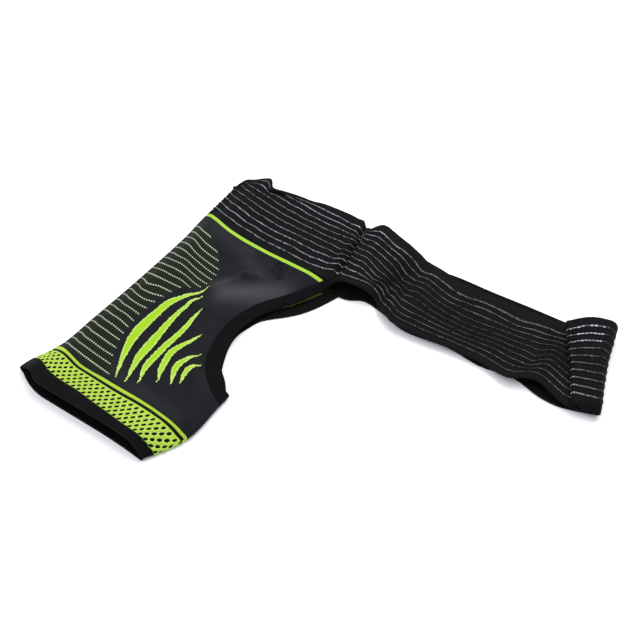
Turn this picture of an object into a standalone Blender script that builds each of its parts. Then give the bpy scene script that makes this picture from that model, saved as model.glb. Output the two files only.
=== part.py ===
"""One-shoulder knitted brace, lying flat: arm sleeve, armhole binding and chest band.

Metres, +Z up, resting on z = 0. +X runs along the chest band and +Y up the sleeve, from its mouth to
the shoulder. Tables and sizes below are in millimetres, measured from the sleeve's outer fold (x = 0)
and from about where the hem meets the green band (y = 0); centre_on_table() moves the finished
pieces so that the origin is under the middle of the brace.
"""
import math

import bmesh
import bpy

MM = 0.001
SEAM_GAP = 0.45
HEM_GAP = 0.8
FOLD_RADIUS = 3.1

HEM_WALL = 2.3
MESH_WALL = 1.9
SLEEVE_WALL = 1.6
BINDING_WALL = 1.7
BAND_WALL = 1.8

MOUTH_COURSE = -11.5
HEM_TOP_COURSE = -1.5
MESH_TOP_COURSE = 23.0
SLIT_COURSE = 59.0
STRIPE_COURSE = 206.0
CHEST_CORNER = 144.0
SEAM_EASE = 8.0

FRONT_COLUMNS = 16
BACK_COLUMNS = 10
BINDING_COLUMNS = 3
BAND_ROWS = 8
INNER_TURN = 3
FOLD_TURN = 6
EDGE_DROOP = 1.0
CALM_ROWS = 1.5
LOWEST_TOP = 4.6
FLAP_UNDERSIDE = 6.5
FLAP_RISE = 2.0
FLAP_NECK_RISE = 2.5
CLOSING_DISTANCE = 0.001

# course: way up the sleeve; outer, inner: x of the two folded edges; crown: height of the top layer
TUBE_COLUMNS = ("course", "outer", "inner", "crown")
TUBE_SECTIONS = (
    (-11.5, -7.0, 124.0, 13.5),
    (2.0, -7.0, 130.0, 13.0),
    (15.0, -3.0, 136.5, 12.0),
    (30.0, 1.0, 141.0, 11.0),
    (59.0, 2.0, 143.1, 10.5),
    (100.0, 3.0, 143.1, 10.5),
    (140.0, 3.5, 143.1, 11.0),
    (178.0, 3.0, 143.1, 11.5),
    (206.0, 0.5, 143.1, 11.5),
)
FOLD_REACH = 24.0
OUTER_LIFT = 9.0
OUTER_LIFT_REACH = 32.0
INNER_DIP = 5.0
INNER_DIP_REACH = 45.0
INNER_DIP_TOP = 50.0
SHOULDER_SAG = 5.0

# The armhole's binding from the chest corner down to the underarm fold, on the front and the back
# layer: the line where it joins the sleeve (in) and its free edge (out); rise and drop are the heights
# of those two lines on the front layer.
ARMHOLE_COLUMNS = ("front_in_x", "front_in_y", "front_out_x", "front_out_y", "rise", "drop",
                   "back_in_x", "back_in_y", "back_out_x", "back_out_y")
ARMHOLE = (
    (128.5, 205.6, 136.0, 205.6, 9.5, 7.5, 134.0, 205.6, 144.0, 205.0),
    (124.0, 197.0, 131.5, 194.5, 8.5, 6.0, 129.0, 196.0, 139.5, 191.5),
    (118.0, 186.0, 126.0, 181.5, 8.0, 5.2, 122.0, 185.0, 133.0, 178.0),
    (111.0, 174.0, 118.5, 168.5, 7.6, 5.0, 114.0, 174.0, 124.5, 166.5),
    (104.0, 163.0, 112.0, 156.5, 7.4, 5.0, 105.5, 163.0, 115.5, 156.5),
    (98.5, 152.0, 108.0, 147.0, 7.4, 5.4, 99.5, 152.0, 109.5, 146.5),
    (95.0, 139.0, 106.0, 137.0, 7.4, 5.8, 95.5, 139.0, 106.5, 136.5),
    (94.0, 125.0, 105.0, 125.0, 7.4, 6.0, 94.5, 125.0, 104.5, 124.5),
    (96.0, 109.0, 107.0, 112.0, 7.4, 6.2, 96.5, 109.0, 106.5, 112.0),
    (100.5, 93.5, 111.0, 100.0, 7.4, 6.2, 100.5, 93.5, 111.5, 99.5),
    (108.0, 80.0, 118.0, 87.5, 7.4, 6.2, 108.0, 80.0, 118.5, 87.0),
    (123.0, 67.5, 129.0, 78.0, 7.2, 6.4, 123.0, 67.5, 129.5, 77.5),
    (140.0, 59.0, 140.0, 70.5, 6.2, 6.2, 140.0, 59.0, 140.0, 70.5),
)

# Chest band, upper layer, from the shoulder fold to the folded end: plan of its lower and neck edges
# and the height of its outer face between the folds
BAND_COLUMNS = ("low_x", "low_y", "neck_x", "neck_y", "height")
BAND_TOP_LAYER = (
    (3.6, 216.0, -0.5, 264.0, 6.2),
    (12.0, 211.0, 10.0, 268.0, 9.2),
    (32.0, 207.0, 30.0, 268.5, 11.4),
    (56.0, 204.5, 54.0, 270.5, 11.5),
    (80.0, 204.0, 80.0, 277.0, 11.5),
    (104.0, 205.0, 103.0, 283.0, 11.0),
    (124.0, 206.5, 119.0, 284.5, 10.0),
    (140.0, 209.0, 128.0, 282.0, 9.5),
    (152.0, 213.0, 139.0, 287.0, 10.0),
    (166.0, 213.0, 158.0, 287.0, 9.0),
    (182.0, 208.0, 178.0, 281.5, 9.0),
    (200.0, 203.5, 198.0, 276.0, 9.5),
    (225.0, 205.5, 224.0, 274.5, 9.4),
    (252.0, 210.0, 252.0, 276.5, 8.4),
    (278.0, 209.0, 277.0, 279.5, 7.5),
    (302.0, 212.5, 298.0, 280.5, 7.5),
    (326.0, 209.5, 312.0, 281.5, 6.2),
    (350.0, 208.5, 328.0, 286.0, 5.8),
    (371.5, 213.0, 341.0, 291.5, 5.8),
)

# Chest band, lower layer, which lies on the table, from the folded end back to the shoulder fold
BAND_LOWER_LAYER = (
    (371.5, 213.0, 341.0, 291.5, 0.0),
    (350.0, 205.0, 328.0, 284.0, 0.0),
    (330.0, 206.0, 310.0, 279.0, 0.0),
    (304.0, 213.0, 294.0, 275.0, 0.0),
    (276.0, 208.5, 274.0, 272.0, 0.0),
    (246.0, 210.5, 246.0, 269.0, 0.0),
    (210.0, 203.0, 212.0, 269.0, 0.0),
    (184.0, 209.5, 184.0, 274.0, 0.0),
    (165.0, 213.0, 164.0, 277.0, 0.0),
    (150.0, 207.0, 146.0, 278.0, 0.0),
    (122.0, 206.0, 120.0, 279.0, 0.0),
    (90.0, 205.0, 88.0, 279.0, 0.0),
    (60.0, 205.0, 56.0, 280.0, 0.0),
    (34.0, 207.0, 30.0, 286.0, 0.0),
    (12.0, 211.0, 11.0, 285.0, 0.0),
    (3.6, 216.0, -0.5, 267.0, 0.0),
)

# Folded end of the loop: free fold (edge) and crease, at the lower and the neck edge of the band,
# with the height of the outer face there
FLAP_COLUMNS = ("edge_x", "edge_y", "edge_height", "crease_x", "crease_y", "crease_height")
FLAP_LOWER = (355.5, 206.0, 11.6, 376.0, 214.0, 13.5)
FLAP_NECK = (317.0, 284.0, 12.6, 347.0, 295.5, 18.5)

# Folds (+) and creases (-) in the upper layer, each along a straight line in plan:
# from_x, from_y, to_x, to_y, height over the layer, half width
SLEEVE_FOLDS = (
    (52.0, 128.0, 74.0, 192.0, 1.8, 7.0),
    (80.0, 150.0, 118.0, 188.0, 1.5, 8.0),
    (96.0, 204.0, 104.0, 172.0, -1.2, 5.0),
)
BAND_FOLDS = (
    (128.0, 284.0, 137.0, 224.0, -5.4, 4.5),
    (140.0, 289.0, 150.0, 214.0, 7.5, 10.0),
    (184.0, 280.0, 181.0, 222.0, -3.6, 6.0),
    (194.0, 276.0, 205.0, 208.0, 2.4, 9.0),
    (254.0, 276.0, 258.0, 212.0, -1.8, 9.0),
    (286.0, 266.0, 322.0, 226.0, 3.0, 9.0),
)


def column(table, names, name):
    return [row[names.index(name)] for row in table]


def smooth_curve(stations, values, at):
    """Value at a station on the curve through a table's column, with no overshoot past its rows."""
    if stations[0] > stations[-1]:
        stations = stations[::-1]
        values = values[::-1]
    if at <= stations[0]:
        return values[0]
    if at >= stations[-1]:
        return values[-1]
    i = max(k for k in range(len(stations) - 1) if stations[k] <= at)
    span = stations[i + 1] - stations[i]
    t = (at - stations[i]) / span

    def slope(k):
        if k == 0 or k == len(stations) - 1:
            return 0.0
        return (values[k + 1] - values[k - 1]) / (stations[k + 1] - stations[k - 1])

    start = (2 * t**3 - 3 * t**2 + 1) * values[i] + (t**3 - 2 * t**2 + t) * span * slope(i)
    end = (3 * t**2 - 2 * t**3) * values[i + 1] + (t**3 - t**2) * span * slope(i + 1)
    return start + end


def blend(first, second, share):
    return first + (second - first) * share


def fold_height(folds, x, y):
    """Height that a layer's folds and creases add at a point."""
    total = 0.0
    for from_x, from_y, to_x, to_y, height, spread in folds:
        length = math.hypot(to_x - from_x, to_y - from_y)
        along_x = (to_x - from_x) / length
        along_y = (to_y - from_y) / length
        along = (x - from_x) * along_x + (y - from_y) * along_y
        across = (y - from_y) * along_x - (x - from_x) * along_y
        beyond = max(0.0, -along, along - length)
        total += height * math.exp(-((across**2 + beyond**2) / spread**2))
    return total


def fold_drop(distance, depth):
    """How far a layer has dropped towards its fold, at a distance from it."""
    return depth * (1.0 - min(1.0, max(0.0, distance) / FOLD_REACH)) ** 2.2


def course_bend(course, x, outer, inner, free_edge):
    """How far a course of knitting lies above (+) or below (-) its nominal place at x."""
    near_outer = min(1.0, max(0.0, 1.0 - (x - outer) / OUTER_LIFT_REACH))
    near_inner = max(0.0, 1.0 - (inner - x) / INNER_DIP_REACH)
    dip_share = max(0.0, 1.0 - (course - MOUTH_COURSE) / (INNER_DIP_TOP - MOUTH_COURSE))
    sag_share = max(0.0, (course - SLIT_COURSE) / (STRIPE_COURSE - SLIT_COURSE))
    sag_place = min(1.0, max(0.0, (x - outer) / (free_edge - outer)))
    bend = OUTER_LIFT * near_outer**2 - INNER_DIP * dip_share * near_inner**2
    return bend - SHOULDER_SAG * sag_share * 4.0 * sag_place * (1.0 - sag_place)


def tube_value(name, course):
    courses = column(TUBE_SECTIONS, TUBE_COLUMNS, "course")
    return smooth_curve(courses, column(TUBE_SECTIONS, TUBE_COLUMNS, name), course)


def armhole_value(name, at):
    return smooth_curve(list(range(len(ARMHOLE))), column(ARMHOLE, ARMHOLE_COLUMNS, name), at)


def armhole_seam(side, at, gap):
    """Point on the line where the binding meets the sleeve, moved a gap into the sleeve."""
    step = 0.01
    before = max(0.0, at - step)
    after = min(len(ARMHOLE) - 1.0, at + step)
    run_x = armhole_value(side + "_in_x", after) - armhole_value(side + "_in_x", before)
    run_y = armhole_value(side + "_in_y", after) - armhole_value(side + "_in_y", before)
    length = math.hypot(run_x, run_y)
    x = armhole_value(side + "_in_x", at) + run_y / length * gap
    y = armhole_value(side + "_in_y", at) - run_x / length * gap
    return x, y


def top_height(x, course, crown, outer, free_edge, free_height):
    """Height of the sleeve's top layer between its outer fold and its other edge."""
    height = crown - fold_drop(x - outer, crown - 2.0 * FOLD_RADIUS)
    height -= fold_drop(free_edge - x, crown - free_height)
    inside = min(1.0, max(0.0, (x - outer) / FOLD_REACH), max(0.0, (free_edge - x) / FOLD_REACH))
    return height + fold_height(SLEEVE_FOLDS, x, course) * inside


def outer_fold(outer, course):
    """Points round the sleeve's outer fold, from the top layer to the lower one."""
    points = []
    for turn in range(1, FOLD_TURN):
        angle = math.pi * turn / FOLD_TURN
        height = FOLD_RADIUS * (1.0 + math.cos(angle))
        points.append((outer - FOLD_RADIUS * math.sin(angle), course + OUTER_LIFT, height))
    return points


def closed_course(course):
    """Outer face of one course below the armhole: a flattened tube, back to its first point."""
    outer = tube_value("outer", course) + FOLD_RADIUS
    inner = tube_value("inner", course) - FOLD_RADIUS
    edge = 2.0 * FOLD_RADIUS

    def place(x, height):
        return (x, course + course_bend(course, x, outer, inner, inner), height)

    rising = [math.pi / 2.0 * turn / INNER_TURN for turn in range(INNER_TURN)]
    points = [place(inner + FOLD_RADIUS * math.cos(a), FOLD_RADIUS * (1.0 + math.sin(a))) for a in rising]
    for step in range(FRONT_COLUMNS + 1):
        x = blend(inner, outer, step / FRONT_COLUMNS)
        points.append(place(x, top_height(x, course, tube_value("crown", course), outer, inner, edge)))
    points += outer_fold(outer, course)
    points += [place(blend(outer, inner, k / BACK_COLUMNS), 0.0) for k in range(BACK_COLUMNS + 1)]
    falling = [math.pi / 2.0 * turn / INNER_TURN for turn in range(1, INNER_TURN + 1)]
    points += [place(inner + FOLD_RADIUS * math.sin(a), FOLD_RADIUS * (1.0 - math.cos(a))) for a in falling]
    return points


def open_course(at):
    """Outer face of one course beside the armhole: front panel, outer fold, back panel."""
    front_x, front_y = armhole_seam("front", at, SEAM_GAP)
    back_x, back_y = armhole_seam("back", at, SEAM_GAP)
    middle = (front_y + back_y) / 2.0
    outer = tube_value("outer", middle) + FOLD_RADIUS
    inner = tube_value("inner", middle) - FOLD_RADIUS
    crown = tube_value("crown", middle)
    points = [None] * INNER_TURN
    for step in range(FRONT_COLUMNS + 1):
        share = step / FRONT_COLUMNS
        x = blend(front_x, outer, share)
        y = blend(front_y, middle, share) + course_bend(middle, x, outer, inner, front_x)
        points.append((x, y, top_height(x, middle, crown, outer, front_x, armhole_value("rise", at))))
    points += outer_fold(outer, middle)
    for step in range(BACK_COLUMNS + 1):
        share = step / BACK_COLUMNS
        x = blend(outer, back_x, share)
        y = blend(middle, back_y, share) + course_bend(middle, x, outer, inner, back_x)
        points.append((x, y, 0.0))
    return points + [None] * INNER_TURN


def even_courses(start, end, count):
    return [blend(start, end, k / count) for k in range(count + 1)]


def shell(name, rows, wall, colour, roughness, ring=False):
    """Closed wall of a knitted piece from rows of points on its outer face, in millimetres.

    A row whose ends meet is closed there, None leaves a place open, and a ring joins its last row to
    its first.
    """
    work = bmesh.new()
    grid = []
    for row in rows:
        corners = [point and work.verts.new([MM * value for value in point]) for point in row]
        if row[0] and math.dist(row[0], row[-1]) < CLOSING_DISTANCE:
            work.verts.remove(corners[-1])
            corners[-1] = corners[0]
        grid.append(corners)
    pairs = list(zip(grid, grid[1:] + grid[:1])) if ring else list(zip(grid, grid[1:]))
    for low, high in pairs:
        for j in range(len(low) - 1):
            corners = (low[j], high[j], high[j + 1], low[j + 1])
            if all(corners):
                work.faces.new(corners)
    mesh = bpy.data.meshes.new(name)
    work.to_mesh(mesh)
    work.free()
    mesh.shade_smooth()
    piece = bpy.data.objects.new(name, mesh)
    bpy.context.scene.collection.objects.link(piece)
    piece.data.materials.append(knit_material(name, colour, roughness))
    thickness = piece.modifiers.new("wall", "SOLIDIFY")
    thickness.thickness = wall * MM
    thickness.offset = -1.0
    return piece


def knit_material(name, colour, roughness):
    material = bpy.data.materials.new(name + "_knit")
    material.use_nodes = True
    surface = material.node_tree.nodes["Principled BSDF"]
    surface.inputs["Base Color"].default_value = (*colour, 1.0)
    surface.inputs["Roughness"].default_value = roughness
    surface.inputs["Metallic"].default_value = 0.0
    return material


def cuff_hem():
    courses = even_courses(MOUTH_COURSE, HEM_TOP_COURSE - HEM_GAP, 3)
    return shell("cuff_hem", [closed_course(c) for c in courses], HEM_WALL, (0.012, 0.013, 0.014), 0.8)


def mesh_band():
    courses = even_courses(HEM_TOP_COURSE, MESH_TOP_COURSE - SEAM_GAP, 4)
    return shell("mesh_band", [closed_course(c) for c in courses], MESH_WALL, (0.42, 0.62, 0.03), 0.75)


def armhole_steps():
    """Stations of the armhole's table, twice for each of its rows, from the chest to the underarm."""
    return [k / 2.0 for k in range(2 * len(ARMHOLE) - 1)]


def arm_sleeve():
    rows = [closed_course(c) for c in even_courses(MESH_TOP_COURSE, SLIT_COURSE - SEAM_GAP, 4)]
    rows += [open_course(at) for at in reversed(armhole_steps()[:-1])]
    return shell("arm_sleeve", rows, SLEEVE_WALL, (0.035, 0.038, 0.045), 0.7)


def armhole_binding():
    """Edging along the front of the armhole, round the underarm fold and along the back."""

    def row(side, at):
        points = []
        for share in (k / BINDING_COLUMNS for k in range(BINDING_COLUMNS + 1)):
            x = blend(armhole_value(side + "_in_x", at), armhole_value(side + "_out_x", at), share)
            y = blend(armhole_value(side + "_in_y", at), armhole_value(side + "_out_y", at), share)
            top = blend(armhole_value("rise", at), armhole_value("drop", at), share**2)
            points.append((x, y, top if side == "front" else 0.0))
        return points

    front = [row("front", at) for at in armhole_steps()]
    back = [row("back", at) for at in reversed(armhole_steps())]
    underarm = []
    for turn in range(1, FOLD_TURN):
        angle = math.pi * turn / FOLD_TURN
        reach = FOLD_RADIUS * math.sin(angle)
        underarm.append([(x + reach, y, FOLD_RADIUS * (1.0 + math.cos(angle))) for x, y, _ in front[-1]])
    rows = front + underarm + back
    return shell("armhole_binding", rows, BINDING_WALL, (0.014, 0.014, 0.016), 0.6)


def layer_point(table, at, share, side):
    """Plan point and height on a layer of the band: at counts the table's rows, share goes lower to neck.

    Beside the sleeve the layer's lower edge follows the shoulder seam of that side, front or back.
    """
    stations = list(range(len(table)))

    def value(name):
        return smooth_curve(stations, column(table, BAND_COLUMNS, name), at)

    low_x = value("low_x")
    on_seam = min(1.0, max(0.0, (CHEST_CORNER - low_x) / SEAM_EASE))
    outer = tube_value("outer", STRIPE_COURSE) + FOLD_RADIUS
    inner = tube_value("inner", STRIPE_COURSE) - FOLD_RADIUS
    bend = course_bend(STRIPE_COURSE, low_x, outer, inner, ARMHOLE[0][ARMHOLE_COLUMNS.index(side + "_in_x")])
    seam_y = STRIPE_COURSE + SEAM_GAP + bend
    x = blend(low_x, value("neck_x"), share)
    y = blend(blend(value("low_y"), seam_y, on_seam), value("neck_y"), share)
    return x, y, value("height")


def flap_value(name, share):
    k = FLAP_COLUMNS.index(name)
    return blend(FLAP_LOWER[k], FLAP_NECK[k], share)


def chest_band():
    """Closed loop of ribbed elastic, as rows across the band that follow the loop all the way round."""
    across = [k / BAND_ROWS for k in range(BAND_ROWS + 1)]
    flap_tilt = math.atan2(FLAP_LOWER[3] - FLAP_NECK[3], FLAP_NECK[4] - FLAP_LOWER[4])
    out_x = math.cos(flap_tilt)
    out_y = math.sin(flap_tilt)

    flap_row = len(BAND_TOP_LAYER) - 2.0

    def top_layer(at):
        points = []
        for share in across:
            x, y, height = layer_point(BAND_TOP_LAYER, at, share, "front")
            calm = min(1.0, at / CALM_ROWS) * min(1.0, max(0.0, (flap_row - at) / CALM_ROWS))
            free_low = min(1.0, max(0.0, (x - CHEST_CORNER) / SEAM_EASE + 1.0))
            droop = EDGE_DROOP * abs(2.0 * share - 1.0) ** 4 * (1.0 if share > 0.5 else free_low)
            height -= droop * calm
            height += fold_height(BAND_FOLDS, x, y) * calm
            points.append((x, y, max(height, LOWEST_TOP)))
        return points

    def lower_layer(at):
        return [layer_point(BAND_LOWER_LAYER, at, share, "back") for share in across]

    def flap(along, height_at):
        """Row of the folded end: along goes from its free fold (0) to the crease (1)."""
        points = []
        for share in across:
            x = blend(flap_value("edge_x", share), flap_value("crease_x", share), along)
            y = blend(flap_value("edge_y", share), flap_value("crease_y", share), along)
            points.append((x, y, height_at(share, along)))
        return points

    def turn(row, top_heights, bottom_heights, count, way):
        """Half turn from one height to another, bulging outwards (way 1) or back (way -1)."""
        rows = []
        for k in range(1, count):
            angle = math.pi * k / count
            points = []
            for (x, y, _), top, bottom in zip(row, top_heights, bottom_heights):
                radius = abs(top - bottom) / 2.0
                height = (top + bottom) / 2.0 + (top - bottom) / 2.0 * math.cos(angle)
                reach = way * radius * math.sin(angle)
                points.append((x + reach * out_x, y + reach * out_y, height))
            rows.append(points)
        return rows

    def flap_top(share, along):
        return blend(flap_value("edge_height", share), flap_value("crease_height", share), along)

    def flap_underside(share, along):
        return FLAP_UNDERSIDE + along * (FLAP_RISE + FLAP_NECK_RISE * share)

    upper = [top_layer(k / 3.0) for k in range(3 * (len(BAND_TOP_LAYER) - 1) + 1)]
    lower = [lower_layer(k / 3.0) for k in range(3 * (len(BAND_LOWER_LAYER) - 1) + 1)]
    inner_end = upper[-1]
    outer_end = lower[0]
    flap_inside = [flap(along, flap_underside) for along in (0.75, 0.5, 0.25, 0.0)]
    flap_outside = [flap(along, flap_top) for along in (0.0, 0.2, 0.4, 0.6, 0.8)]

    def heights(row):
        return [point[2] for point in row]

    inside_turn = turn(inner_end, heights(flap_inside[0]), heights(inner_end), 6, 1.0)
    free_fold = turn(flap_outside[0], heights(flap_outside[0]), heights(flap_inside[-1]), 6, -1.0)
    crease = turn(outer_end, heights(flap_outside[-1]), heights(outer_end), 8, 1.0)
    shoulder = []
    for k in range(1, FOLD_TURN):
        angle = math.pi * k / FOLD_TURN
        reach = FOLD_RADIUS * math.sin(angle)
        height = FOLD_RADIUS * (1.0 - math.cos(angle))
        shoulder.append([(x - reach, y, height) for x, y, _ in upper[0]])
    rows = upper + inside_turn[::-1] + flap_inside + free_fold[::-1] + flap_outside
    rows += crease + lower + shoulder
    return shell("chest_band", rows, BAND_WALL, (0.012, 0.012, 0.013), 0.75, ring=True)


def centre_on_table(pieces):
    """Put the origin under the middle of the whole brace."""
    points = [vertex.co for piece in pieces for vertex in piece.data.vertices]
    middle_x = (min(p.x for p in points) + max(p.x for p in points)) / 2.0
    middle_y = (min(p.y for p in points) + max(p.y for p in points)) / 2.0
    for piece in pieces:
        for vertex in piece.data.vertices:
            vertex.co.x -= middle_x
            vertex.co.y -= middle_y


for leftover in list(bpy.data.objects):
    bpy.data.objects.remove(leftover, do_unlink=True)
centre_on_table([cuff_hem(), mesh_band(), arm_sleeve(), armhole_binding(), chest_band()])
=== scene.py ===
import math
from collections import namedtuple
from functools import cache

import bmesh
import bpy
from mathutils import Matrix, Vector, noise


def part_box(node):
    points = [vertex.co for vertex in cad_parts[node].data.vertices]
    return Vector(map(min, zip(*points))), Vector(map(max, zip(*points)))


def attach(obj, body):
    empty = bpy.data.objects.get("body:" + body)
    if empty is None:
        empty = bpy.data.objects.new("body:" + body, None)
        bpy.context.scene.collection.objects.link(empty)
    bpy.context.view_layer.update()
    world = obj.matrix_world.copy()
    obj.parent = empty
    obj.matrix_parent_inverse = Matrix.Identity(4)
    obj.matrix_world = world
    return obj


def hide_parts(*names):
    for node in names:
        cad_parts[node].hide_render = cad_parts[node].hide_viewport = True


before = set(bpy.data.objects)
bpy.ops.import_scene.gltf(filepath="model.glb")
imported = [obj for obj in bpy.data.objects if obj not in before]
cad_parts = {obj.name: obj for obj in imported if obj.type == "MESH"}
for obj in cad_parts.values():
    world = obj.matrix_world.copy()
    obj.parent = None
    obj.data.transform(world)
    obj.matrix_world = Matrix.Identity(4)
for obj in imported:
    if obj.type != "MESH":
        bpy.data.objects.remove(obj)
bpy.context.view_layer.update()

MM = 0.001


# Table top, light and camera
# The brace lies folded flat on a pale matt table. One broad soft light stands behind it and to the
# right, a weaker one in front, and the camera looks down past the sleeve's mouth.
TABLE_WIDTH = 6.0
TABLE_DEPTH = 0.0002
CAMERA_TURN = math.radians(35.5)
CAMERA_PITCH = math.radians(47.0)
CAMERA_DISTANCE = 1.12
AIM = Vector((-0.0381, 0.0375, 0.0))


def linear(code):
    """Linear colour of an sRGB hex value."""
    parts = [int(code[k:k + 2], 16) / 255 for k in (1, 3, 5)]
    return [c / 12.92 if c <= 0.04045 else ((c + 0.055) / 1.055) ** 2.4 for c in parts] + [1.0]


def node(tree, kind, sockets=(), **settings):
    """Adds a node with its settings. Sockets, by name or number, take a value, a socket or a node."""
    made = tree.nodes.new("ShaderNode" + kind)
    for name, value in settings.items():
        setattr(made, name, value)
    for socket, value in dict(sockets).items():
        if isinstance(value, bpy.types.Node):
            tree.links.new(value.outputs[0], made.inputs[socket])
        elif isinstance(value, bpy.types.NodeSocket):
            tree.links.new(value, made.inputs[socket])
        else:
            made.inputs[socket].default_value = value
    return made


def soft_light(name, place, width, power):
    """Square studio light box, aimed at the brace."""
    light = bpy.data.lights.new(name, "AREA")
    light.size = width
    light.energy = power
    lamp = bpy.data.objects.new(name, light)
    lamp.location = AIM + place
    lamp.rotation_euler = (-place).to_track_quat("-Z", "Y").to_euler()
    bpy.context.scene.collection.objects.link(lamp)


ahead = Vector((-math.sin(CAMERA_TURN), math.cos(CAMERA_TURN), 0.0))
right = Vector((math.cos(CAMERA_TURN), math.sin(CAMERA_TURN), 0.0))
up = Vector((0.0, 0.0, 1.0))
soft_light("back_light_box", 0.75 * ahead + 0.55 * right + 1.25 * up, 1.3, 20.0)
soft_light("side_light_box", -0.9 * right - 0.1 * ahead + 1.0 * up, 0.9, 4.0)

world = bpy.data.worlds.new("studio")
world.use_nodes = True
world.node_tree.nodes["Background"].inputs["Color"].default_value = linear("#f7f9ff")
world.node_tree.nodes["Background"].inputs["Strength"].default_value = 0.9
bpy.context.scene.world = world
bpy.context.scene.view_settings.view_transform = "Standard"

camera = bpy.data.objects.new("camera", bpy.data.cameras.new("camera"))
camera.data.lens = 78.75
camera.data.sensor_width = 36.0
camera.data.clip_start = 0.01
sight = ahead * math.cos(CAMERA_PITCH) - up * math.sin(CAMERA_PITCH)
camera.location = AIM - sight * CAMERA_DISTANCE
camera.rotation_euler = sight.to_track_quat("-Z", "Y").to_euler()
bpy.context.scene.collection.objects.link(camera)
bpy.context.scene.camera = camera

work = bmesh.new()
bmesh.ops.create_grid(work, x_segments=1, y_segments=1, size=TABLE_WIDTH / 2)
bmesh.ops.translate(work, verts=work.verts, vec=(0.0, 0.0, -TABLE_DEPTH))
mesh = bpy.data.meshes.new("table_top")
work.to_mesh(mesh)
work.free()
table_top = bpy.data.objects.new("table_top", mesh)
bpy.context.scene.collection.objects.link(table_top)
laminate = bpy.data.materials.new("white_matt_laminate")
laminate.use_nodes = True
laminate.node_tree.nodes["Principled BSDF"].inputs["Base Color"].default_value = linear("#fbfbfb")
laminate.node_tree.nodes["Principled BSDF"].inputs["Roughness"].default_value = 0.9
mesh.materials.append(laminate)


# Cuff hem
# A double, springy hem of black nylon and elastane closes the sleeve's mouth. It is knitted in one
# with the sleeve and turned over, so it is thick and its lip is round. Sizes here and below are in
# millimetres from the sleeve's outer fold (x) and from the foot of the green mesh (course).
FOLD_RADIUS = 3.1
FLAT_WIDTH = 137.0
FOLD_LENGTH = math.pi * FOLD_RADIUS
ROUND = 2.0 * (FLAT_WIDTH + FOLD_LENGTH)
TUBE = {
    "course": (-11.5, 2.0, 15.0, 30.0, 59.0, 100.0, 140.0, 178.0, 208.0),
    "outer": (-10.5, -7.0, -3.2, 0.4, 1.0, 2.0, 2.2, 1.5, -1.0),
    "inner": (124.0, 130.0, 136.5, 140.0, 138.8, 138.8, 138.8, 138.8, 138.8),
    "dip": (2.2, 3.9, 2.85, 1.6, 0.0, 0.0, 0.0, 0.0, 0.0),
    "crown": (13.5, 13.0, 12.0, 11.0, 10.5, 10.5, 11.0, 11.5, 11.5),
}
FOLD_REACH = 17.0
MOUTH_COURSE = -11.5
SLIT_COURSE = 59.0
SHOULDER_COURSE = 208.0
BACK_LIFT_REACH = 32.0
INNER_DIP_REACH = 45.0
LOW_CORNER = (-7.0, -16.5)

# The front's courses don't lie straight. Each row: a course, then how far it lies above (+) or below (-)
# its own number at the distances from the outer fold
BEND_STATIONS = (0.0, 10.0, 20.0, 30.0, 40.0, 50.0, 75.0, 100.0, 125.0)
BENDS = (
    (-11.5, (10.0, 7.0, 1.4, -0.1, 0.0, 0.0, 0.0, 0.0, 0.0)),
    (-1.5, (13.0, 10.3, 6.1, 4.1, 3.6, 3.5, 1.3, -0.6, 0.0)),
    (8.0, (10.5, 8.7, 6.0, 3.8, 3.1, 3.0, 1.4, 0.8, 0.6)),
    (17.3, (9.0, 8.0, 5.8, 3.4, 2.9, 2.6, 2.2, 2.5, 2.0)),
    (23.0, (9.0, 6.6, 3.8, 1.6, 1.1, 1.4, 1.3, 0.9, 0.0)),
    (28.0, (9.0, 6.2, 4.5, 3.4, 2.4, 1.6, 0.0, 0.0, 0.0)),
    (42.8, (9.0, 5.5, 4.1, 2.9, 2.5, 2.2, 0.0, 0.0, 0.0)),
    (57.6, (9.0, 6.0, 4.8, 3.8, 3.2, 2.8, 0.0, 0.0, 0.0)),
    (72.4, (9.0, 6.3, 5.2, 3.2, 3.0, 2.8, 0.0, 0.0, 0.0)),
    (87.2, (9.0, 5.6, 4.6, 3.3, 3.2, 2.9, 0.0, 0.0, 0.0)),
    (102.0, (9.0, 5.4, 4.0, 6.4, 8.1, 7.9, 3.8, 0.0, 0.0)),
    (109.4, (9.0, 4.8, 4.6, 7.0, 8.1, 7.8, 3.8, 0.0, 0.0)),
    (116.8, (9.0, 4.7, 6.9, 7.4, 7.5, 7.3, 2.8, 0.0, 0.0)),
    (124.2, (9.0, 7.6, 7.5, 7.8, 8.0, 6.7, 1.8, 0.0, 0.0)),
    (131.6, (9.0, 8.1, 7.5, 7.7, 5.7, 3.7, 0.0, 0.0, 0.0)),
    (139.0, (9.0, 7.4, 7.4, 6.4, 4.0, 2.9, 0.0, 0.0, 0.0)),
    (146.4, (9.0, 7.4, 7.2, 4.8, 2.3, 1.3, 0.0, 0.0, 0.0)),
    (153.8, (9.0, 6.4, 5.7, 2.9, 1.0, -0.2, 0.0, 0.0, 0.0)),
    (161.2, (9.0, 6.8, 4.1, 1.8, -0.2, -1.4, -1.0, 0.0, 0.0)),
    (168.6, (9.0, 6.4, 2.3, -0.1, -1.5, -2.6, -1.4, 0.0, 0.0)),
    (176.0, (9.0, 6.4, 1.8, -0.6, -1.9, -2.6, -1.9, -0.5, 0.0)),
    (183.4, (9.0, 4.9, 1.2, -0.7, -2.4, -3.0, -2.2, -1.0, 0.0)),
    (190.8, (9.0, 4.3, 1.6, -0.2, -2.0, -3.0, -2.4, -1.5, 0.0)),
    (205.6, (11.0, 7.6, 4.6, 2.3, 1.0, 0.1, -0.6, 0.1, 0.8)),
)
SEAM_GAP = 0.05

HEM_TOP = -1.5
HEM_WALL = 2.3
HEM_SET_BACK = 1.8
HEM_SPACING = 1.4

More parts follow.
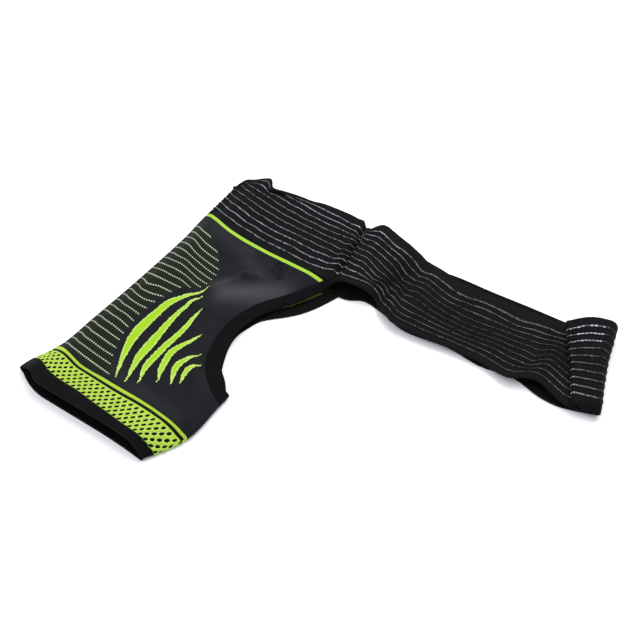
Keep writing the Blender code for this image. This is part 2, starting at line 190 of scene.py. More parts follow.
hem_low, hem_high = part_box("cuff_hem")
corner_x = hem_low.x / MM - LOW_CORNER[0]
corner_y = hem_low.y / MM - LOW_CORNER[1]

Knot = namedtuple("Knot", "x y z u v relief marks")


def curve(stations, values, at):
    """Smooth curve through the values at the stations."""
    at = min(max(at, stations[0]), stations[-1])
    k = max(i for i in range(len(stations) - 1) if stations[i] <= at)
    span = stations[k + 1] - stations[k]
    t = (at - stations[k]) / span

    def slope(i):
        if i in (0, len(stations) - 1):
            return 0.0
        return (values[i + 1] - values[i - 1]) / (stations[i + 1] - stations[i - 1])

    start = (2 * t**3 - 3 * t**2 + 1) * values[k] + (t**3 - 2 * t**2 + t) * span * slope(k)
    end = (3 * t**2 - 2 * t**3) * values[k + 1] + (t**3 - t**2) * span * slope(k + 1)
    return start + end


def mix(first, second, share):
    return first + (second - first) * share


def clamp(value, low=0.0, high=1.0):
    return min(high, max(low, value))


def spread(low, high, spacing):
    """Even stations from low to high, about a spacing apart."""
    count = max(1, round((high - low) / spacing))
    return [mix(low, high, k / count) for k in range(count + 1)]


@cache
def bends_along(course):
    """One course's bends at the stations from the outer fold inwards."""
    courses = [row[0] for row in BENDS]
    return [curve(courses, [row[1][k] for row in BENDS], course) for k in range(len(BEND_STATIONS))]


def course_bend(course, x, outer, inner, side):
    """How far a course of knitting lies above (+) or below (-) its own number at x."""
    bends = bends_along(course)
    lift = bends[0] * clamp(1.0 - (x - outer) / BACK_LIFT_REACH) ** 2
    if side == "front":
        lift = curve(BEND_STATIONS, bends, x - outer)
    near_inner = max(0.0, 1.0 - (inner - x) / INNER_DIP_REACH)
    return lift - curve(TUBE["course"], TUBE["dip"], course) * near_inner**2


def fold_drop(distance, depth):
    """How far a layer has dropped towards its fold, at a distance from it."""
    return depth * (1.0 - clamp(distance / FOLD_REACH)) ** 2


def wrinkle(x, y, length, seed):
    """Soft unevenness of laid cloth, from -1 to 1, with lumps of about the given length."""
    return noise.noise(Vector((x / length, y / length, seed)))


def tube_knot(u, course, front_course=None, relief=0.0, marks=()):
    """Knot of the folded tube: u runs along its back, round the outer fold and along its front."""
    outer = curve(TUBE["course"], TUBE["outer"], course) + FOLD_RADIUS
    inner = curve(TUBE["course"], TUBE["inner"], course) - FOLD_RADIUS
    crown = curve(TUBE["course"], TUBE["crown"], course)
    width = inner - outer
    side = "front"
    if u >= FLAT_WIDTH:
        angle = (u - FLAT_WIDTH) / FOLD_RADIUS
        x, z = inner + FOLD_RADIUS * math.sin(angle), FOLD_RADIUS * (1.0 + math.cos(angle))
    elif u >= 0.0:
        x = outer + width * u / FLAT_WIDTH
        z = crown - fold_drop(x - outer, crown - 2.0 * FOLD_RADIUS)
        z -= fold_drop(inner - x, crown - 2.0 * FOLD_RADIUS)
        z += 0.5 * wrinkle(x, course, 26.0, 1.0) * clamp(u / FOLD_REACH)
    elif u >= -FOLD_LENGTH:
        angle = -u / FOLD_RADIUS
        x, z = outer - FOLD_RADIUS * math.sin(angle), FOLD_RADIUS * (1.0 + math.cos(angle))
    elif u >= -FOLD_LENGTH - FLAT_WIDTH:
        x, z = outer + width * (-u - FOLD_LENGTH) / FLAT_WIDTH, 0.0
        side = "back"
    else:
        angle = (-u - FOLD_LENGTH - FLAT_WIDTH) / FOLD_RADIUS
        x, z = inner + FOLD_RADIUS * math.sin(angle), FOLD_RADIUS * (1.0 - math.cos(angle))
        side = "back"
    on_front = clamp((u + FOLD_LENGTH) / (FOLD_LENGTH + FOLD_REACH)) * clamp((ROUND / 2.0 - u) / FOLD_REACH)
    laid = course if front_course is None else mix(course, front_course, on_front)
    y = laid + course_bend(course, x, outer, inner, side)
    return Knot(x, y, z, u, laid, relief, marks)


def knit_piece(name, sheets, wall, lip, mark_names, finishes):
    """Knitted wall: flat grids whose corners move to their knots, joined, raised and given thickness.

    Its UV map is the knit's own map in millimetres: u along a course, v from course to course.
    """
    work = bmesh.new()
    knit_map = work.loops.layers.uv.new("knit")
    raised = work.verts.layers.float.new("relief")
    layers = [work.verts.layers.float.new(mark) for mark in mark_names]
    for rows in sheets:
        across = len(rows[0]) - 1
        along = len(rows) - 1
        corners = bmesh.ops.create_grid(work, x_segments=across, y_segments=along, size=0.5)["verts"]
        laid = {}
        for corner in corners:
            knot = rows[round((corner.co.y + 0.5) * along)][round((corner.co.x + 0.5) * across)]
            corner.co = Vector((knot.x + corner_x, knot.y + corner_y, knot.z)) * MM
            corner[raised] = knot.relief
            for layer, mark in zip(layers, knot.marks):
                corner[layer] = mark
            laid[corner] = (knot.u, knot.v)
        for face in {face for corner in corners for face in corner.link_faces}:
            for loop in face.loops:
                loop[knit_map].uv = laid[loop.vert]
    bmesh.ops.remove_doubles(work, verts=work.verts, dist=0.01 * MM)
    work.normal_update()
    for corner, normal in [(corner, corner.normal.copy()) for corner in work.verts]:
        corner.co += normal * corner[raised] * MM
    mesh = bpy.data.meshes.new(name)
    work.to_mesh(mesh)
    work.free()
    mesh.shade_smooth()
    piece = bpy.data.objects.new(name, mesh)
    bpy.context.scene.collection.objects.link(piece)
    for finish in finishes:
        mesh.materials.append(finish)
    thickness = piece.modifiers.new("wall", "SOLIDIFY")
    thickness.thickness = wall * MM
    thickness.offset = -1.0
    thickness.material_offset = 1
    rounding = piece.modifiers.new("rounded_rim", "BEVEL")
    rounding.width = lip * MM
    rounding.segments = 3
    rounding.limit_method = "ANGLE"
    rounding.angle_limit = math.radians(72.0)
    return piece


def knit_finish(name, roughness, sheen):
    """New knit material: its tree, its shader and the two directions of the knit's map."""
    material = bpy.data.materials.new(name)
    material.use_nodes = True
    tree = material.node_tree
    surface = tree.nodes["Principled BSDF"]
    surface.inputs["Roughness"].default_value = roughness
    surface.inputs["Specular IOR Level"].default_value = 0.08
    surface.inputs["Sheen Weight"].default_value = sheen
    surface.inputs["Sheen Roughness"].default_value = 0.45
    place = node(tree, "SeparateXYZ", {0: node(tree, "UVMap", uv_map="knit")})
    return material, tree, surface, place.outputs[0], place.outputs[1]


def ribs(tree, place, pitch):
    """Sine ribs across a direction of the knit's map, from -1 to 1."""
    turns = node(tree, "Math", {0: place, 1: math.tau / pitch}, operation="MULTIPLY")
    return node(tree, "Math", {0: turns}, operation="SINE")


def raise_surface(tree, surface, height, depth):
    """Relief of the stitches, depth millimetres deep."""
    bump = node(tree, "Bump", {"Height": height, "Distance": depth * MM, "Strength": 1.0})
    tree.links.new(bump.outputs[0], surface.inputs["Normal"])


def blotches(tree, scale, low, high, detail=2.0):
    """Uneven dye and wear on the knit's map, from low to high, with lumps 1 / scale millimetres long."""
    cloud = node(tree, "TexNoise", {"Vector": node(tree, "UVMap", uv_map="knit"), "Scale": scale,
                                    "Detail": detail})
    return node(tree, "MapRange", {0: cloud, 1: 0.3, 2: 0.7, 3: low, 4: high})


def black_rib(name, low_colour, high_colour, pitch, depth, roughness, sheen):
    """Black nylon rib: fine upright ribs that catch a little light, on unevenly dyed yarn."""
    material, tree, surface, across, up_knit = knit_finish(name, roughness, sheen)
    rib = ribs(tree, across, pitch)
    stitch = ribs(tree, up_knit, pitch * 0.8)
    height = node(tree, "Math", {0: rib, 1: stitch, 2: rib}, operation="MULTIPLY_ADD")
    tone = blotches(tree, 0.12, 0.0, 1.0)
    colour = node(tree, "Mix", {0: tone, 6: linear(low_colour), 7: linear(high_colour)}, data_type="RGBA")
    tree.links.new(colour.outputs[2], surface.inputs["Base Color"])
    raise_surface(tree, surface, height, depth)
    return material


def declare(piece, node_name):
    """Rides with the brace and stands for its plain solid."""
    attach(piece, "root")
    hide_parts(node_name)


hem_face = black_rib("black_nylon_hem_rib", "#040405", "#080809", 1.7, 0.10, 0.75, 0.0)
hem_back = black_rib("black_nylon_hem_reverse", "#040404", "#070708", 1.7, 0.12, 0.85, 0.0)
hem_rows = []
for course in spread(MOUTH_COURSE, HEM_TOP - SEAM_GAP, HEM_SPACING):
    lip_share = (HEM_TOP - course) / (HEM_TOP - MOUTH_COURSE)
    hem_rows.append([tube_knot(u, course, course + HEM_SET_BACK * lip_share)
                     for u in spread(-ROUND + FLAT_WIDTH + FOLD_LENGTH / 2.0, FLAT_WIDTH + FOLD_LENGTH / 2.0,
                                     HEM_SPACING)])
cuff_hem = knit_piece("cuff_hem_knit", [hem_rows], HEM_WALL, 1.0, (), (hem_face, hem_back))
declare(cuff_hem, "cuff_hem")


# Mesh band
# Springy lime eyelet mesh above the hem: slanting rows of open eyelets, a scalloped foot, then a thin
# black course and a plain lime stripe, all knitted in one with the hem and the sleeve.
MESH_TOP = 23.0
MESH_WALL = 1.9
EYELETS = 51
EYELET_PITCH = ROUND / EYELETS
EYELET_ROWS = 5
EYELET_ROW_PITCH = 3.3
TOP_EYELETS = 13.4
ROW_SHIFT = 3.5
EYELET_SLANT = math.radians(14.0)
EYELET_LENGTH = 1.6
EYELET_WIDTH = 1.42
EYELET_DEPTH = 0.8
SCALLOP_DEPTH = 1.0
SCALLOP_FOOT = -1.9
STEPS_PER_EYELET = 8
MESH_SPACING = 0.6
BLACK_COURSE = 17.3
BLACK_COURSE_HALF = 1.4
LIME_TOP = 22.3


def eyelet(u, v):
    """How far inside the nearest eyelet a knot lies, in millimetres; negative outside."""
    deepest = -EYELET_PITCH
    nearest = round((TOP_EYELETS - v) / EYELET_ROW_PITCH)
    for row in (nearest - 1, nearest, nearest + 1):
        if 0 <= row < EYELET_ROWS:
            rise = v - (TOP_EYELETS - row * EYELET_ROW_PITCH)
            side = (u - row * ROW_SHIFT + EYELET_PITCH / 2.0) % EYELET_PITCH - EYELET_PITCH / 2.0
            long_way = rise * math.cos(EYELET_SLANT) + side * math.sin(EYELET_SLANT)
            short_way = side * math.cos(EYELET_SLANT) - rise * math.sin(EYELET_SLANT)
            out = math.hypot(long_way / EYELET_LENGTH, short_way / EYELET_WIDTH)
            deepest = max(deepest, (1.0 - out) * EYELET_WIDTH)
    last_row = (u - (EYELET_ROWS - 1) * ROW_SHIFT) / EYELET_PITCH
    foot = SCALLOP_FOOT + SCALLOP_DEPTH * abs(math.sin(math.pi * last_row)) ** 0.7
    return max(deepest, foot - v)


def eyelet_knot(u, course):
    inside = eyelet(u, course)
    dimple = -EYELET_DEPTH * clamp(0.5 + inside / 0.9)
    groove = -0.35 * clamp(1.4 - abs(course - BLACK_COURSE) / BLACK_COURSE_HALF)
    return tube_knot(u, course, relief=max(-EYELET_DEPTH, dimple + groove), marks=(inside,))


def lime_mesh():
    """Lime polyester: eyelets and one course show the black ground yarn, and a painted highlight makes the eyelets'
    rims paler.
    """
    material, tree, surface, across, up_knit = knit_finish("lime_polyester_mesh", 0.65, 0.02)
    inside = node(tree, "Attribute", attribute_name="eyelet").outputs["Fac"]
    grain = blotches(tree, 0.9, -0.16, 0.16)
    ragged = node(tree, "Math", {0: inside, 1: grain.outputs[0]}, operation="ADD")
    hole = node(tree, "MapRange", {0: ragged, 1: -0.1, 2: 0.2, 3: 0.0, 4: 1.0})
    # Painted highlight: a paler lime round each eyelet's rim.
    rim_highlight = node(tree, "MapRange", {0: ragged, 1: -0.75, 2: -0.25, 3: 0.0, 4: 0.55})
    off_line = node(tree, "Math", {0: up_knit, 1: BLACK_COURSE}, operation="SUBTRACT")
    off_line = node(tree, "Math", {0: off_line}, operation="ABSOLUTE")
    line = node(tree, "MapRange", {0: off_line, 1: BLACK_COURSE_HALF - 0.15, 2: BLACK_COURSE_HALF + 0.15,
                                   3: 1.0, 4: 0.0})
    dark = node(tree, "Math", {0: hole, 1: line}, operation="MAXIMUM")
    top = node(tree, "MapRange", {0: up_knit, 1: LIME_TOP - 0.2, 2: LIME_TOP + 0.2, 3: 0.0, 4: 1.0})
    dark = node(tree, "Math", {0: dark, 1: top}, operation="MAXIMUM")
    dye = blotches(tree, 0.25, 0.0, 1.0, 3.0)
    lime = node(tree, "Mix", {0: dye, 6: linear("#9aba2c"), 7: linear("#accc44")}, data_type="RGBA")
    lime = node(tree, "Mix", {0: rim_highlight, 6: lime.outputs[2], 7: linear("#c4e070")}, data_type="RGBA")
    colour = node(tree, "Mix", {0: dark, 6: lime.outputs[2], 7: linear("#070d04")}, data_type="RGBA")
    tree.links.new(colour.outputs[2], surface.inputs["Base Color"])
    rib = ribs(tree, across, 1.15)
    stitch = ribs(tree, up_knit, 0.95)
    raise_surface(tree, surface, node(tree, "Math", {0: rib, 1: stitch}, operation="ADD"), 0.09)
    return material


mesh_reverse = black_rib("lime_polyester_mesh_reverse", "#1a240a", "#2c3a12", 1.2, 0.12, 0.85, 0.0)
mesh_columns = spread(-ROUND + FLAT_WIDTH + FOLD_LENGTH / 2.0, FLAT_WIDTH + FOLD_LENGTH / 2.0,
                      EYELET_PITCH / STEPS_PER_EYELET)
mesh_rows = [[eyelet_knot(u, course) for u in mesh_columns]
             for course in spread(HEM_TOP, MESH_TOP - SEAM_GAP, MESH_SPACING)]
mesh_band = knit_piece("lime_mesh_band", [mesh_rows], MESH_WALL, 0.15, ("eyelet",), (lime_mesh(), mesh_reverse))
declare(mesh_band, "mesh_band")


# Arm sleeve
# Dark grey compression jersey from the mesh to the shoulder seam: a tube up to the underarm, then
# a front and a back panel beside the armhole. Six tapering lime stripes, a field of tuck courses with
# pale dots along the outer fold and the lime shoulder stripe are knitted in.
SLEEVE_WALL = 1.6
SLEEVE_SPACING = 1.45
STEPS_PER_STATION = 9
ARMHOLE = {
    "front_in_x": (129.5, 124.0, 118.0, 111.0, 104.0, 98.5, 95.0, 94.0, 96.0, 100.5, 108.0, 121.5, 135.7),
    "front_in_y": (208.0, 197.5, 186.0, 174.0, 163.0, 152.0, 139.0, 125.0, 109.0, 93.5, 80.0, 67.5, 59.0),
    "front_out_x": (137.0, 131.5, 126.0, 118.5, 112.0, 108.0, 106.0, 105.0, 107.0, 111.0, 118.0, 129.0, 135.7),
    "front_out_y": (208.0, 195.0, 181.5, 168.5, 156.5, 147.0, 137.0, 125.0, 112.0, 100.0, 87.5, 78.0, 70.5),
    "rise": (9.5, 8.5, 8.0, 7.6, 7.4, 7.4, 7.4, 7.4, 7.4, 7.4, 7.4, 7.2, 6.2),
    "drop": (7.5, 6.0, 5.2, 5.0, 5.0, 5.4, 5.8, 6.0, 6.2, 6.2, 6.2, 6.4, 6.2),
    "back_in_x": (137.0, 131.5, 126.0, 120.0, 112.5, 103.0, 96.5, 94.5, 96.5, 100.5, 108.0, 121.5, 135.7),
    "back_in_y": (208.0, 196.5, 185.0, 174.0, 163.5, 152.5, 139.0, 125.0, 109.0, 93.5, 80.0, 67.5, 59.0),
    "back_out_x": (145.0, 139.5, 133.0, 124.5, 115.5, 109.5, 106.5, 104.5, 106.5, 111.5, 118.5, 129.5, 135.7),
    "back_out_y": (206.4, 189.5, 175.5, 164.0, 154.5, 146.5, 136.5, 124.5, 112.0, 99.5, 87.0, 77.5, 70.5),
}
ARMHOLE_STATIONS = tuple(range(len(ARMHOLE["rise"])))

# Folds (+) and creases (-) along a line: from x, y to x, y, height, half width
SLEEVE_FOLDS = (
    (62.5, 143.0, 76.0, 174.0, 3.2, 4.5),
    (76.0, 174.0, 87.0, 178.0, 2.4, 3.5),
    (84.0, 180.0, 87.0, 192.0, 1.8, 2.8),
    (90.0, 199.0, 98.0, 188.0, -3.4, 3.0),
    (84.0, 146.0, 120.0, 180.0, 2.4, 9.0),
    (58.0, 118.0, 92.0, 128.0, 1.6, 5.0),
)

# Painted highlight: where the jersey's folds face the light it is painted paler, laid out the same way, with a share
# instead of a height
PAINTED_HIGHLIGHTS = (
    (74.0, 150.0, 112.0, 173.0, 1.0, 12.0),
    (70.0, 190.0, 86.0, 182.0, 0.25, 6.0),
    (22.0, 200.0, 60.0, 198.0, 0.2, 8.0),
    (20.0, 34.0, 120.0, 28.0, 0.15, 8.0),
)

# Each tapering stripe from its shoulder end down: course, x of its middle, width
STRIPES = (
    ((146, 60.6, 0.9), (130, 55.1, 3.0), (108, 44.5, 6.2), (95, 43.2, 7.5), (79, 43.0, 8.9),
     (63, 45.2, 7.7), (48, 51.3, 5.1), (36, 57.3, 3.0), (26, 61.6, 0.8)),
    ((133, 61.3, 1.0), (119, 58.5, 2.7), (104, 56.9, 4.0), (95, 57.3, 5.0), (83, 58.9, 6.5),
     (68, 60.4, 7.9), (54, 62.0, 6.6), (41, 66.4, 3.6), (29, 69.7, 1.0)),
    ((120, 70.3, 1.0), (106, 70.1, 3.4), (97, 71.4, 4.6), (88, 71.8, 5.0), (76, 71.2, 5.6),
     (62, 71.6, 6.0), (50, 72.9, 5.1), (34, 78.8, 1.2)),
    ((101, 86.3, 1.0), (93, 84.5, 3.0), (84, 80.9, 4.7), (74, 79.1, 6.0), (64, 81.3, 5.7),
     (55, 84.5, 4.7), (44, 89.6, 1.1)),
    ((87, 98.4, 1.0), (80, 94.7, 3.1), (72, 91.9, 5.1), (64, 92.0, 5.7), (57, 95.1, 4.3), (49, 99.0, 1.1)),
    ((79, 105.1, 1.0), (74, 102.0, 3.1), (69, 100.6, 4.6), (62, 101.7, 3.9), (53, 104.7, 1.1)),
)

# Edge of the dotted field: course and how far it reaches from the outer fold
FIELD = {
    "course": (28.0, 35.4, 42.8, 57.6, 72.4, 87.2, 102.0, 116.8, 124.2, 131.6, 139.0, 146.4, 161.2, 168.6, 176.0,
               183.4, 190.8),
    "reach": (55.0, 49.6, 45.5, 38.2, 34.7, 32.9, 34.1, 38.0, 41.2, 47.4, 53.9, 56.2, 55.6, 53.4, 47.3, 40.1, 24.8),
}
DOT_COURSE_PITCH = 7.4
FIRST_DOT_COURSE = 28.0
LAST_DOT_COURSE = 190.8
DOT_PITCH = 2.3
SHOULDER_STRIPE = 205.4
STRIPE_WIDTH = 3.2
STRIPE_TURN = 40.0
SEAM_FROM = 152.0
SEAM_TO = 200.0
SEAM_WIDTH = 3.0


def inside_stripes(x, course):
    """How far inside a tapering stripe a knot lies, in millimetres; negative outside."""
    deepest = -4.0
    for stripe in STRIPES:
        courses = [row[0] for row in stripe][::-1]
        if courses[0] - 2.0 < course < courses[-1] + 2.0:
            middle = curve(courses, [row[1] for row in stripe][::-1], course)
            width = curve(courses, [row[2] for row in stripe][::-1], course)
            lean = curve(courses, [row[1] for row in stripe][::-1], course + 1.0) - middle
            beyond = max(0.0, courses[0] - course, course - courses[-1])
            deepest = max(deepest, (width / 2.0 - abs(x - middle)) / math.hypot(1.0, lean) - beyond)
    return deepest


def fold_height(folds, x, y):
    """Height that a layer's folds and creases add at a point."""
    total = 0.0
    for from_x, from_y, to_x, to_y, height, half_width in folds:
        length = math.hypot(to_x - from_x, to_y - from_y)
        run_x, run_y = (to_x - from_x) / length, (to_y - from_y) / length
        along = (x - from_x) * run_x + (y - from_y) * run_y
        across = (y - from_y) * run_x - (x - from_x) * run_y
        beyond = max(0.0, -along, along - length)
        total += height * math.exp(-((across**2 + beyond**2) / half_width**2))
    return total


def armhole(name, at):
    return curve(ARMHOLE_STATIONS, ARMHOLE[name], at)


def armhole_seam(side, at, gap):
    """Point on the line where the binding meets the sleeve, moved a gap into the sleeve."""
    before, after = clamp(at - 0.01, 0.0, 12.0), clamp(at + 0.01, 0.0, 12.0)
    run_x = armhole(side + "_in_x", after) - armhole(side + "_in_x", before)
    run_y = armhole(side + "_in_y", after) - armhole(side + "_in_y", before)
    length = math.hypot(run_x, run_y)
    return (armhole(side + "_in_x", at) + run_y / length * gap,
            armhole(side + "_in_y", at) - run_x / length * gap)


def sleeve_marks(u, x, course, on_front):
    stripe = inside_stripes(x, course) if on_front else -4.0
    reach = curve(FIELD["course"], FIELD["reach"], course)
    ends = min(course - FIRST_DOT_COURSE, LAST_DOT_COURSE - course) + 3.0
    field = min(reach - abs(x), ends) if u > -FOLD_LENGTH - FIELD["reach"][0] else -4.0
    # The last mark is the share of painted highlight, on the front only.
    return (stripe, clamp(field, -6.0, 6.0), 0.0, fold_height(PAINTED_HIGHLIGHTS, x, course) if on_front else 0.0)


def closed_sleeve_row(course, columns):
    row = []
    for u in columns:
        knot = tube_knot(u, course)
        row.append(knot._replace(marks=sleeve_marks(u, knot.x, course, 0.0 < u < FLAT_WIDTH)))
    return row


def open_sleeve_row(at, columns):
    """One course beside the armhole, on the same columns: back panel, outer fold, front panel."""
    front_x, front_y = armhole_seam("front", at, SEAM_GAP)
    back_x, back_y = armhole_seam("back", at, SEAM_GAP)
    middle = (front_y + back_y) / 2.0
    outer = curve(TUBE["course"], TUBE["outer"], middle) + FOLD_RADIUS
    inner = curve(TUBE["course"], TUBE["inner"], middle) - FOLD_RADIUS
    crown = curve(TUBE["course"], TUBE["crown"], middle)
    row = []
    for u in columns:
        if u >= 0.0:
            share = u / FLAT_WIDTH
            x = mix(outer, front_x, share)
            course = mix(middle, front_y, share)
            y = course + course_bend(middle, x, outer, inner, "front") * clamp((front_x - x) / 14.0)
            z = crown - fold_drop(x - outer, crown - 2.0 * FOLD_RADIUS)
            z -= fold_drop(front_x - x, crown - armhole("rise", at))
            calm = clamp((x - outer) / FOLD_REACH) * clamp((front_x - x) / FOLD_REACH)
            z += fold_height(SLEEVE_FOLDS, x, middle) * calm
            z += 0.5 * wrinkle(x, middle, 26.0, 1.0) * clamp((x - outer) / FOLD_REACH)
            knit_u = (x - outer) / (inner - outer) * FLAT_WIDTH
        elif u >= -FOLD_LENGTH:
            angle = -u / FOLD_RADIUS
            x, z = outer - FOLD_RADIUS * math.sin(angle), FOLD_RADIUS * (1.0 + math.cos(angle))
            course, y, knit_u = middle, middle + bends_along(middle)[0], u
        else:
            share = (-u - FOLD_LENGTH) / FLAT_WIDTH
            x, z = mix(outer, back_x, share), 0.0
            course = mix(middle, back_y, share)
            y = course + course_bend(middle, x, outer, inner, "back")
            knit_u = -FOLD_LENGTH - (x - outer) / (inner - outer) * FLAT_WIDTH
        marks = sleeve_marks(knit_u, x, course, u > 0.0)
        if u < -FOLD_LENGTH and SEAM_FROM < back_y < SEAM_TO:
            marks = marks[:2] + (clamp(SEAM_WIDTH - (back_x - x)), 0.0)
        row.append(Knot(x, y, z, knit_u, course, 0.0, marks))
    return row


def dotted(tree, across, up_knit):
    """Pale dots along the tuck courses."""
    course = node(tree, "Math", {0: up_knit, 1: FIRST_DOT_COURSE}, operation="SUBTRACT")
    course = node(tree, "Math", {0: course, 1: DOT_COURSE_PITCH / 2.0}, operation="PINGPONG")
    course = node(tree, "MapRange", {0: course, 1: 0.45, 2: 0.75, 3: 1.0, 4: 0.0})
    dot = node(tree, "Math", {0: across, 1: DOT_PITCH / 2.0}, operation="PINGPONG")
    dot = node(tree, "MapRange", {0: dot, 1: 0.45, 2: 0.7, 3: 1.0, 4: 0.0})
    return node(tree, "Math", {0: course, 1: dot}, operation="MULTIPLY")


def grey_jersey():
    """Grey polyester jersey with lime and pale yarns laid in where the marks on the cloth say."""
    material, tree, surface, across, up_knit = knit_finish("grey_polyester_jersey", 0.62, 0.03)
    stripe = node(tree, "Attribute", attribute_name="stripe").outputs["Fac"]
    field = node(tree, "Attribute", attribute_name="field").outputs["Fac"]

    # Stitches are about 1.2 mm wide and high, so a stripe's edge is stepped by that much
    cell_u = node(tree, "Math", {0: across, 1: 1.2}, operation="SNAP")
    cell_v = node(tree, "Math", {0: up_knit, 1: 1.3}, operation="SNAP")
    cell = node(tree, "CombineXYZ", {0: cell_u, 1: cell_v})
    chance = node(tree, "TexWhiteNoise", {"Vector": cell}, noise_dimensions="2D")
    jag = node(tree, "MapRange", {0: chance.outputs[0], 1: 0.0, 2: 1.0, 3: -0.38, 4: 0.3})
    edge = node(tree, "Math", {0: stripe, 1: jag}, operation="ADD")
    in_stripe = node(tree, "MapRange", {0: edge, 1: -0.1, 2: 0.2, 3: 0.0, 4: 1.0})
    near_stripe = node(tree, "MapRange", {0: edge, 1: -1.6, 2: -0.3, 3: 0.0, 4: 0.9})
    core = node(tree, "MapRange", {0: stripe, 1: 0.3, 2: 1.7, 3: 0.0, 4: 1.0})

    off_seam = node(tree, "Math", {0: up_knit, 1: SHOULDER_STRIPE}, operation="SUBTRACT")
    off_seam = node(tree, "Math", {0: off_seam}, operation="ABSOLUTE")
    shoulder = node(tree, "MapRange", {0: off_seam, 1: STRIPE_WIDTH / 2.0 - 0.2, 2: STRIPE_WIDTH / 2.0 + 0.1,
                                       3: 1.0, 4: 0.0})
    shoulder_edge = node(tree, "MapRange", {0: off_seam, 1: STRIPE_WIDTH / 2.0, 2: STRIPE_WIDTH / 2.0 + 1.4,
                                            3: 0.9, 4: 0.0})
    on_front = node(tree, "Math", {0: across, 1: -STRIPE_TURN}, operation="GREATER_THAN")
    shoulder = node(tree, "Math", {0: shoulder, 1: on_front}, operation="MULTIPLY")

    in_field = node(tree, "MapRange", {0: field, 1: -0.6, 2: 0.6, 3: 0.0, 4: 1.0})
    pale = node(tree, "Math", {0: dotted(tree, across, up_knit), 1: in_field}, operation="MULTIPLY")

    dye = blotches(tree, 0.04, 0.0, 1.0)
    ground = node(tree, "Mix", {0: dye, 6: linear("#0b0c0f"), 7: linear("#131418")}, data_type="RGBA")
    # Painted highlight: the ground is painted paler where the jersey's folds face the light.
    painted_highlight = node(tree, "Attribute", attribute_name="painted_highlight").outputs["Fac"]
    ground = node(tree, "Mix", {0: painted_highlight, 6: ground.outputs[2], 7: linear("#3a3b40")}, data_type="RGBA")
    dark_edge = node(tree, "Math", {0: near_stripe, 1: shoulder_edge}, operation="MAXIMUM")
    ground = node(tree, "Mix", {0: dark_edge, 6: ground.outputs[2], 7: linear("#070d03")}, data_type="RGBA")
    ground = node(tree, "Mix", {0: in_field, 6: ground.outputs[2], 7: linear("#10190a")}, data_type="RGBA")
    lime = node(tree, "Mix", {0: core, 6: linear("#b2cc6c"), 7: linear("#92bc1e")}, data_type="RGBA")
    colour = node(tree, "Mix", {0: in_stripe, 6: ground.outputs[2], 7: lime.outputs[2]}, data_type="RGBA")
    colour = node(tree, "Mix", {0: shoulder, 6: colour.outputs[2], 7: linear("#96bb3a")}, data_type="RGBA")
    colour = node(tree, "Mix", {0: pale, 6: colour.outputs[2], 7: linear("#c0c6aa")}, data_type="RGBA")
    tree.links.new(colour.outputs[2], surface.inputs["Base Color"])

    rib = ribs(tree, across, 1.2)
    stitch = ribs(tree, up_knit, 1.3)
    height = node(tree, "Math", {0: rib, 1: 0.5, 2: stitch}, operation="MULTIPLY_ADD")
    height = node(tree, "Math", {0: pale, 1: 2.5, 2: height}, operation="MULTIPLY_ADD")
    raise_surface(tree, surface, height, 0.06)
    return material


sleeve_reverse = black_rib("grey_polyester_jersey_reverse", "#171b0d", "#232816", 1.3, 0.12, 0.85, 0.0)
seam_tree = sleeve_reverse.node_tree
seam_yarn = node(seam_tree, "Attribute", attribute_name="seam")
inside_colour = seam_tree.nodes["Principled BSDF"].inputs["Base Color"]
seam_colour = node(seam_tree, "Mix", {0: seam_yarn.outputs["Fac"], 6: inside_colour.links[0].from_socket,
                                      7: linear("#71803a")}, data_type="RGBA")
seam_tree.links.new(seam_colour.outputs[2], inside_colour)
columns = spread(-ROUND + FLAT_WIDTH + FOLD_LENGTH / 2.0, FLAT_WIDTH + FOLD_LENGTH / 2.0, SLEEVE_SPACING)
open_columns = [-FOLD_LENGTH - FLAT_WIDTH, *[u for u in columns if -FOLD_LENGTH - FLAT_WIDTH + 0.5 < u < FLAT_WIDTH - 0.5],
                FLAT_WIDTH]
folds_left = [u for u in columns if u < -FOLD_LENGTH - FLAT_WIDTH - 0.5]
folds_right = [u for u in columns if u > FLAT_WIDTH + 0.5]
columns = folds_left + open_columns + folds_right
tube_rows = [closed_sleeve_row(course, columns) for course in spread(MESH_TOP, SLIT_COURSE - SEAM_GAP, SLEEVE_SPACING)]
panel_rows = [tube_rows[-1][len(folds_left):len(folds_left) + len(open_columns)]]
last_station = ARMHOLE_STATIONS[-1]
for step in range(1, last_station * STEPS_PER_STATION + 1):
    panel_rows.append(open_sleeve_row(last_station - step / STEPS_PER_STATION, open_columns))
arm_sleeve = knit_piece("grey_arm_sleeve", [tube_rows, panel_rows], SLEEVE_WALL, 0.15, ("stripe", "field", "seam", "painted_highlight"),
                        (grey_jersey(), sleeve_reverse))
declare(arm_sleeve, "arm_sleeve")


# Armhole binding
# A smooth black double edging, about 10 mm wide, is linked to the cut edge of the sleeve all round
# the armhole: down the front, round the underarm fold and up the back.
BINDING_WALL = 1.7
BINDING_COLUMNS = 9
BINDING_STEPS = 8
UNDERARM_STEPS = 10


def binding_row(side, at):
    row = []
    for k in range(BINDING_COLUMNS + 1):
        share = k / BINDING_COLUMNS
        x = mix(armhole(side + "_in_x", at), armhole(side + "_out_x", at), share)
        y = mix(armhole(side + "_in_y", at), armhole(side + "_out_y", at), share)
        z = mix(armhole("rise", at), armhole("drop", at), share**2) if side == "front" else 0.0
        along = at * 13.0 if side == "front" else -at * 13.0
        row.append(Knot(x, y, z, along, share * 11.0, 0.0, ()))
    return row


